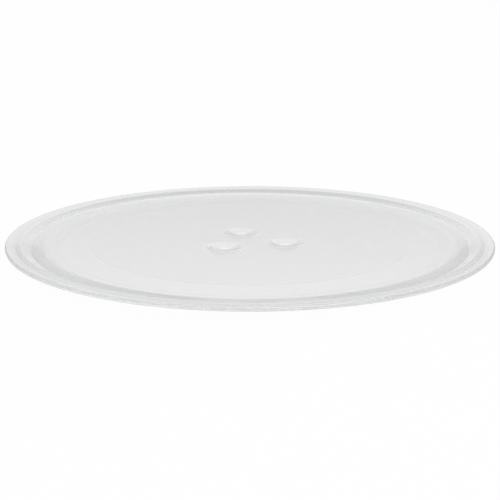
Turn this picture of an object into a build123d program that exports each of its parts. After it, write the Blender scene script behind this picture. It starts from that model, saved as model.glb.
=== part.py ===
from build123d import *
import math
import os

# Turntable plate of a small microwave oven, pressed in one piece from clear glass.
# Millimetres, +Z up. The origin is on the plate's axis, at the level of the three lug tips.

# Rim, each length counted inwards from the outer edge
plate_diameter = 245.0
ledge_width = 7.5  # flat top of the rim, from the outer edge to the top of the inner wall
wall_run = 4.7  # inner wall of the rim, seen from above
ledge_rise = 2.0  # top of the inner wall above the food surface
edge_rise = 2.1  # top of the outer edge above the food surface
edge_thickness = 2.1
edge_rounding = 0.45  # radius of the fire-polished edge, as a share of its thickness
wall_foot_radius = 3.0
wall_top_radius = 3.0

# Underside of the rim, a cone that runs from the flat floor up to the ledge
shoulder_inset = 5.2  # from the outer edge to the shoulder
shoulder_rise = 3.05  # shoulder above the flat underside
heel_run = 13.3  # from the shoulder to the heel
heel_radius = 30.0

# Floor, whose flat underside is also the track that the rollers run on
floor_thickness = 3.3

# Drive lugs, low domes that the wings of the oven's coupler push against
lug_count = 3
lug_circle_diameter = 36.4
lug_height = 3.4
lug_root_diameter = 18.0
lug_tip_diameter = 12.0  # where the side and the tip would meet in a sharp corner
lug_dome = 0.7  # share of the side that the rounding of the tip takes up
lug_root_radius = 1.0
first_lug_angle = 90.0

# Levels and radii that follow from the driving dimensions
underside_z = lug_height
food_z = underside_z + floor_thickness
edge_top_z = food_z + edge_rise
edge_r = plate_diameter / 2
edge_radius = edge_rounding * edge_thickness
wall_top_r = edge_r - ledge_width
wall_foot_r = wall_top_r - wall_run
shoulder_r = edge_r - shoulder_inset
heel_r = shoulder_r - heel_run


def rounded_face(corners):
    """Face in the XZ plane inside corners given as (radius from the axis, height, rounding)."""
    outline = FilletPolyline(
        [(r, 0, z) for r, z, rounding in corners],
        radius=[rounding for r, z, rounding in corners],
        close=True,
    )
    return make_face(outline)


def plate_body():
    """The plate without its lugs, its section drawn from the axis out over the rim and back underneath."""
    section = rounded_face([
        (0, food_z, 0),
        (wall_foot_r, food_z, wall_foot_radius),
        (wall_top_r, food_z + ledge_rise, wall_top_radius),
        (edge_r, edge_top_z, edge_radius),
        (edge_r, edge_top_z - edge_thickness, edge_radius),
        (shoulder_r, underside_z + shoulder_rise, 0),
        (heel_r, underside_z, heel_radius),
        (0, underside_z, 0),
    ])
    return revolve(section, Axis.Z)


def lug():
    """One drive lug: a low round dome with a small flat tip and a hollow fillet at its root."""
    root_r = lug_root_diameter / 2
    tip_r = lug_tip_diameter / 2
    side_length = math.hypot(root_r - tip_r, lug_height)
    side_angle = math.atan2(lug_height, root_r - tip_r)
    tip_radius = lug_dome * side_length / math.tan(side_angle / 2)
    skirt_r = root_r + 2 * lug_root_radius
    embed_z = underside_z + floor_thickness / 2
    section = rounded_face([
        (0, 0, 0),
        (tip_r, 0, tip_radius),
        (root_r, underside_z, lug_root_radius),
        (skirt_r, underside_z, 0),
        (skirt_r, embed_z, 0),
        (0, embed_z, 0),
    ])
    return revolve(section, Axis.Z)


lug_places = PolarLocations(lug_circle_diameter / 2, lug_count, start_angle=first_lug_angle)
plate = plate_body() + [place * lug() for place in lug_places]

os.makedirs("parts", exist_ok=True)
export_step(plate, "parts/turntable_plate.step")
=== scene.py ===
import math

import bmesh
import bpy
from mathutils import Matrix, Vector


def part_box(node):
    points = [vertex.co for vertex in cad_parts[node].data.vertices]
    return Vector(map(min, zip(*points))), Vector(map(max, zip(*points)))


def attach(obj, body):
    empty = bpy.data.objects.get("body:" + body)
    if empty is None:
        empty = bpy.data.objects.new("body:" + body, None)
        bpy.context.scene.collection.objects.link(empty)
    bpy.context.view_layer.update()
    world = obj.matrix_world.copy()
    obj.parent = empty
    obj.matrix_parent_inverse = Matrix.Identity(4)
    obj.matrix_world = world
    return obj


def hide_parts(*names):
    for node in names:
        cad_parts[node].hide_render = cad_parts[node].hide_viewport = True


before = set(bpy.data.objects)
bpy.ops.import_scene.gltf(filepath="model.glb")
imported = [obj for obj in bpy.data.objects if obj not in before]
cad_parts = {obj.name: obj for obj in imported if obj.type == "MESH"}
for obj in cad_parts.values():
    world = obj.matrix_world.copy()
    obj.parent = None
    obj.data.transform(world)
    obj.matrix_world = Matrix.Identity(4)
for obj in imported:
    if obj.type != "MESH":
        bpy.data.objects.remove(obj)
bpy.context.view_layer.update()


# The turntable plate: one piece of clear soda-lime glass, pressed in a mould together with its low
# rim and the three drive lugs under its centre. Its top and edge are polished. The underside keeps
# the mould's fine grain, except on the lugs and on the smooth ring that the rollers run on.
MM = 0.001
plate_low, plate_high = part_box("turntable_plate")
edge_r = min(plate_high.x, -plate_low.x, plate_high.y, -plate_low.y)
underside_z = 3.4 * MM
food_z = underside_z + 3.3 * MM
edge_top_z = food_z + 2.1 * MM
edge_bottom_z = food_z
edge_round = 0.945 * MM
polished_edge_r = edge_r - 1.2 * edge_round
wall_top_r = edge_r - 7.5 * MM
wall_top_z = food_z + 2.0 * MM
wall_foot_r = wall_top_r - 4.7 * MM
wall_round = 3.0 * MM
shoulder_r = edge_r - 5.2 * MM
shoulder_z = underside_z + 3.05 * MM
shoulder_round = 4.0 * MM
heel_r = shoulder_r - 13.3 * MM
heel_round = 30.0 * MM
track_outer_r = 95.5 * MM
track_inner_r = 80.5 * MM
track_z = underside_z + 0.012 * MM
track_step = 0.12 * MM
track_round = 0.4 * MM
hub_r = 32.0 * MM
lug_count = 3
lug_circle_r = 18.2 * MM
lug_root_r = 9.0 * MM
lug_tip_r = 6.0 * MM
lug_root_round = 1.0 * MM
lug_tip_round = 7.0 * MM
lug_skirt_r = lug_root_r + 2 * lug_root_round
first_lug_angle = math.radians(90)
rim_grain = 1.0
floor_grain = 0.7
# Fineness of the mesh, and the narrow rings that keep the flats flat beside a rounding
plate_around = 360
lug_around = 96
arc_step = math.radians(3)
guard = 0.04 * MM


def rounded(corners):
    """Points of an outline given as (radius, height, rounding), each rounded corner as an arc."""
    places = [Vector((radius, height)) for radius, height, rounding in corners]
    points = [places[0]]
    for k in range(1, len(corners) - 1):
        here = places[k]
        rounding = corners[k][2]
        if rounding == 0:
            points.append(here)
            continue
        arrive = (here - places[k - 1]).normalized()
        leave = (places[k + 1] - here).normalized()
        turn = arrive.angle_signed(leave)
        reach = rounding * math.tan(abs(turn) / 2)
        start = here - arrive * reach
        side = -1 if turn > 0 else 1
        centre = start + Vector((-arrive.y, arrive.x)) * rounding * side
        steps = max(2, math.ceil(abs(turn) / arc_step))
        points.append(start - arrive * guard)
        for step in range(steps + 1):
            swing = Matrix.Rotation(-turn * step / steps, 2)
            points.append(centre + swing @ (start - centre))
        points.append(here + leave * (reach + guard))
    points.append(places[-1])
    return points


def ring(mesh, radius, height, count, centre):
    """A ring of vertices round an upright axis, or one vertex where the radius is nothing."""
    if radius < 1e-9:
        return [mesh.verts.new((centre[0], centre[1], height))]
    angles = [2 * math.pi * k / count for k in range(count)]
    return [
        mesh.verts.new((centre[0] + radius * math.cos(a), centre[1] + radius * math.sin(a), height))
        for a in angles
    ]


def bridge(mesh, first, second):
    """Faces between two rings, either of which may be a single vertex."""
    for k in range(max(len(first), len(second))):
        corners = [first[k % len(first)], second[k % len(second)]]
        if len(second) > 1:
            corners.append(second[(k + 1) % len(second)])
        if len(first) > 1:
            corners.append(first[(k + 1) % len(first)])
        mesh.faces.new(corners)


def spin(mesh, outline, count, centre=(0, 0)):
    """Spins an outline round an upright axis and returns its rings."""
    rings = [ring(mesh, point.x, point.y, count, centre) for point in outline]
    for first, second in zip(rings, rings[1:]):
        bridge(mesh, first, second)
    return rings


glass = bmesh.new()
grain_layer = glass.verts.layers.float.new("press_grain")
plate_outline = rounded([
    (0, food_z, 0),
    (wall_foot_r, food_z, wall_round),
    (wall_top_r, wall_top_z, wall_round),
    (edge_r, edge_top_z, edge_round),
    (edge_r, edge_bottom_z, edge_round),
    (shoulder_r, shoulder_z, shoulder_round),
    (heel_r, underside_z, heel_round),
    (track_outer_r, underside_z, track_round),
    (track_outer_r - track_step, track_z, track_round),
    (track_inner_r + track_step, track_z, track_round),
    (track_inner_r, underside_z, track_round),
    (hub_r, underside_z, 0),
])
plate_rings = spin(glass, plate_outline, plate_around)
edge_at = max(range(len(plate_outline)), key=lambda k: plate_outline[k].x)
for k, point in enumerate(plate_outline):
    on_track = track_inner_r + track_step / 2 < point.x < track_outer_r - track_step / 2
    if k < edge_at or point.x > polished_edge_r or on_track:
        grain = 0.0
    elif point.x > heel_r:
        grain = rim_grain
    else:
        grain = floor_grain
    for vert in plate_rings[k]:
        vert[grain_layer] = grain

# The lugs, and the flat round them out to the plate's last ring
lug_outline = rounded([
    (0, 0, 0),
    (lug_tip_r, 0, lug_tip_round),
    (lug_root_r, underside_z, lug_root_round),
    (lug_skirt_r, underside_z, 0),
])
hub_rings = [plate_rings[-1]]
for k in range(lug_count):
    angle = first_lug_angle + k * 2 * math.pi / lug_count
    centre = (lug_circle_r * math.cos(angle), lug_circle_r * math.sin(angle))
    lug_rings = spin(glass, lug_outline, lug_around, centre)
    for vert in lug_rings[-1]:
        vert[grain_layer] = floor_grain
    hub_rings.append(lug_rings[-1])
hub_edges = []
for hub_ring in hub_rings:
    for k, vert in enumerate(hub_ring):
        after = hub_ring[(k + 1) % len(hub_ring)]
        hub_edges.append(glass.edges.get((vert, after)))
bmesh.ops.triangle_fill(glass, use_beauty=True, edges=hub_edges)
bmesh.ops.recalc_face_normals(glass, faces=glass.faces)
for face in glass.faces:
    face.smooth = True
plate_mesh = bpy.data.meshes.new("turntable_plate_glass")
glass.to_mesh(plate_mesh)
glass.free()
plate = bpy.data.objects.new("glass_turntable_plate", plate_mesh)
bpy.context.scene.collection.objects.link(plate)


def maths(tree, operation, first, second):
    """The result of a Math node on two entries, each a socket or a number."""
    node = tree.nodes.new("ShaderNodeMath")
    node.operation = operation
    for k, entry in enumerate((first, second)):
        if isinstance(entry, bpy.types.NodeSocket):
            tree.links.new(entry, node.inputs[k])
        else:
            node.inputs[k].default_value = entry
    return node.outputs[0]


glass_colour = (0.99, 0.99, 0.99, 1)
glass_cast = (0.90, 0.95, 0.92, 1)
cast_density = 0.8
grain_fineness = 700.0
grain_depth = 0.02 * MM
grain_roughness = 0.14
clear_glass = bpy.data.materials.new("clear_pressed_glass")
clear_glass.use_nodes = True
tree = clear_glass.node_tree
shader = tree.nodes["Principled BSDF"]
shader.inputs["Base Color"].default_value = glass_colour
shader.inputs["IOR"].default_value = 1.52
shader.inputs["Transmission Weight"].default_value = 1.0
place = tree.nodes.new("ShaderNodeTexCoord")
speckle = tree.nodes.new("ShaderNodeTexNoise")
speckle.inputs["Scale"].default_value = grain_fineness
speckle.inputs["Detail"].default_value = 1.0
tree.links.new(place.outputs["Object"], speckle.inputs["Vector"])
where = tree.nodes.new("ShaderNodeAttribute")
where.attribute_name = "press_grain"
grain_height = maths(tree, "MULTIPLY", speckle.outputs[0], where.outputs["Fac"])
relief = tree.nodes.new("ShaderNodeBump")
relief.inputs["Strength"].default_value = 1.0
relief.inputs["Distance"].default_value = grain_depth
tree.links.new(grain_height, relief.inputs["Height"])
tree.links.new(relief.outputs[0], shader.inputs["Normal"])
roughness = maths(tree, "MULTIPLY", where.outputs["Fac"], grain_roughness)
tree.links.new(roughness, shader.inputs["Roughness"])
body = tree.nodes.new("ShaderNodeVolumeAbsorption")
body.inputs["Color"].default_value = glass_cast
body.inputs["Density"].default_value = cast_density
tree.links.new(body.outputs[0], tree.nodes["Material Output"].inputs["Volume"])
plate_mesh.materials.append(clear_glass)
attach(plate, "root")
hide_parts("turntable_plate")


# The table: a plain sheet of white paper that the plate stands on, wide enough to fill the view.
# It looks near white when seen directly and a little less so through the glass, and the rest of its
# tone is lit paper, which keeps the plate's shadow.
floor_half = 10.0
paper_colour = (0.9, 0.9, 0.9, 1)
white_seen_directly = 0.97
white_seen_through_glass = 0.76
floor_mesh = bpy.data.meshes.new("white_floor")
floor_mesh.from_pydata(
    [(-floor_half, -floor_half, 0), (floor_half, -floor_half, 0),
     (floor_half, floor_half, 0), (-floor_half, floor_half, 0)],
    [], [(0, 1, 2, 3)])
floor = bpy.data.objects.new("white_floor", floor_mesh)
bpy.context.scene.collection.objects.link(floor)
paper = bpy.data.materials.new("white_paper")
paper.use_nodes = True
tree = paper.node_tree
lit_paper = tree.nodes["Principled BSDF"]
lit_paper.inputs["Base Color"].default_value = paper_colour
lit_paper.inputs["Roughness"].default_value = 0.9
white = tree.nodes.new("ShaderNodeEmission")
white.inputs["Strength"].default_value = 1.0
path = tree.nodes.new("ShaderNodeLightPath")
through_glass = maths(
    tree, "MAXIMUM", path.outputs["Is Glossy Ray"], path.outputs["Is Transmission Ray"])
glass_share = maths(tree, "MULTIPLY", through_glass, white_seen_through_glass)
direct_share = maths(tree, "MULTIPLY", path.outputs["Is Camera Ray"], white_seen_directly)
mix = tree.nodes.new("ShaderNodeMixShader")
tree.links.new(maths(tree, "MAXIMUM", glass_share, direct_share), mix.inputs[0])
tree.links.new(lit_paper.outputs[0], mix.inputs[1])
tree.links.new(white.outputs[0], mix.inputs[2])
tree.links.new(mix.outputs[0], tree.nodes["Material Output"].inputs["Surface"])
floor_mesh.materials.append(paper)


# Studio light: a pale room with a dimmer band low round its walls and a dimmer ceiling, and one
# large soft box halfway up in front of the table, which the flat glass seldom mirrors.
horizon_colour = (0.77, 0.77, 0.77, 1)
wall_colours = [
    (0.2, (0.56, 0.56, 0.56, 1)),
    (0.3, (0.78, 0.78, 0.78, 1)),
    (0.5, (0.70, 0.71, 0.715, 1)),
]
ceiling_from = 0.75
ceiling_colour = (0.53, 0.55, 0.58, 1)
world = bpy.data.worlds.new("studio")
bpy.context.scene.world = world
world.use_nodes = True
tree = world.node_tree
room = tree.nodes["Background"]
room.inputs["Strength"].default_value = 1.0
direction = tree.nodes.new("ShaderNodeTexCoord")
split = tree.nodes.new("ShaderNodeSeparateXYZ")
tree.links.new(direction.outputs["Generated"], split.inputs[0])
ramp = tree.nodes.new("ShaderNodeValToRGB")
tones = ramp.color_ramp.elements
tones[0].position = 0.0
tones[0].color = horizon_colour
tones[1].position = ceiling_from
tones[1].color = ceiling_colour
for height, colour in wall_colours:
    tones.new(height).color = colour
tree.links.new(split.outputs["Z"], ramp.inputs[0])
tree.links.new(ramp.outputs[0], room.inputs["Color"])

lamp_data = bpy.data.lights.new("softbox", "AREA")
lamp_data.size = 1.7
lamp_data.energy = 14
lamp = bpy.data.objects.new("softbox", lamp_data)
lamp.location = (0.5, -1.05, 1.38)
lamp.rotation_euler = (-lamp.location).to_track_quat("-Z", "Y").to_euler()
bpy.context.scene.collection.objects.link(lamp)


# The camera: it looks down on the plate at a low angle from the front of the table. Light that is
# caught in the glass is turned back many times before it gets out, so long paths are traced.
azimuth = math.radians(-15)
elevation = math.radians(14.39)
distance = 0.6125
orbit_centre = Vector((0, 0, 5.2 * MM))
aim = Vector((0, 0, 0.8 * MM))
longest_path = 256
camera_data = bpy.data.cameras.new("camera")
camera_data.lens = 86.6
camera_data.clip_start = 0.01
camera = bpy.data.objects.new("camera", camera_data)
to_camera = Vector((
    math.sin(azimuth) * math.cos(elevation),
    -math.cos(azimuth) * math.cos(elevation),
    math.sin(elevation),
))
camera.location = orbit_centre + to_camera * distance
camera.rotation_euler = (aim - camera.location).to_track_quat("-Z", "Y").to_euler()
bpy.context.scene.collection.objects.link(camera)
bpy.context.scene.camera = camera
bpy.context.scene.view_settings.view_transform = "Standard"
tracer = bpy.context.scene.cycles
tracer.max_bounces = longest_path
tracer.glossy_bounces = longest_path
tracer.transmission_bounces = longest_path
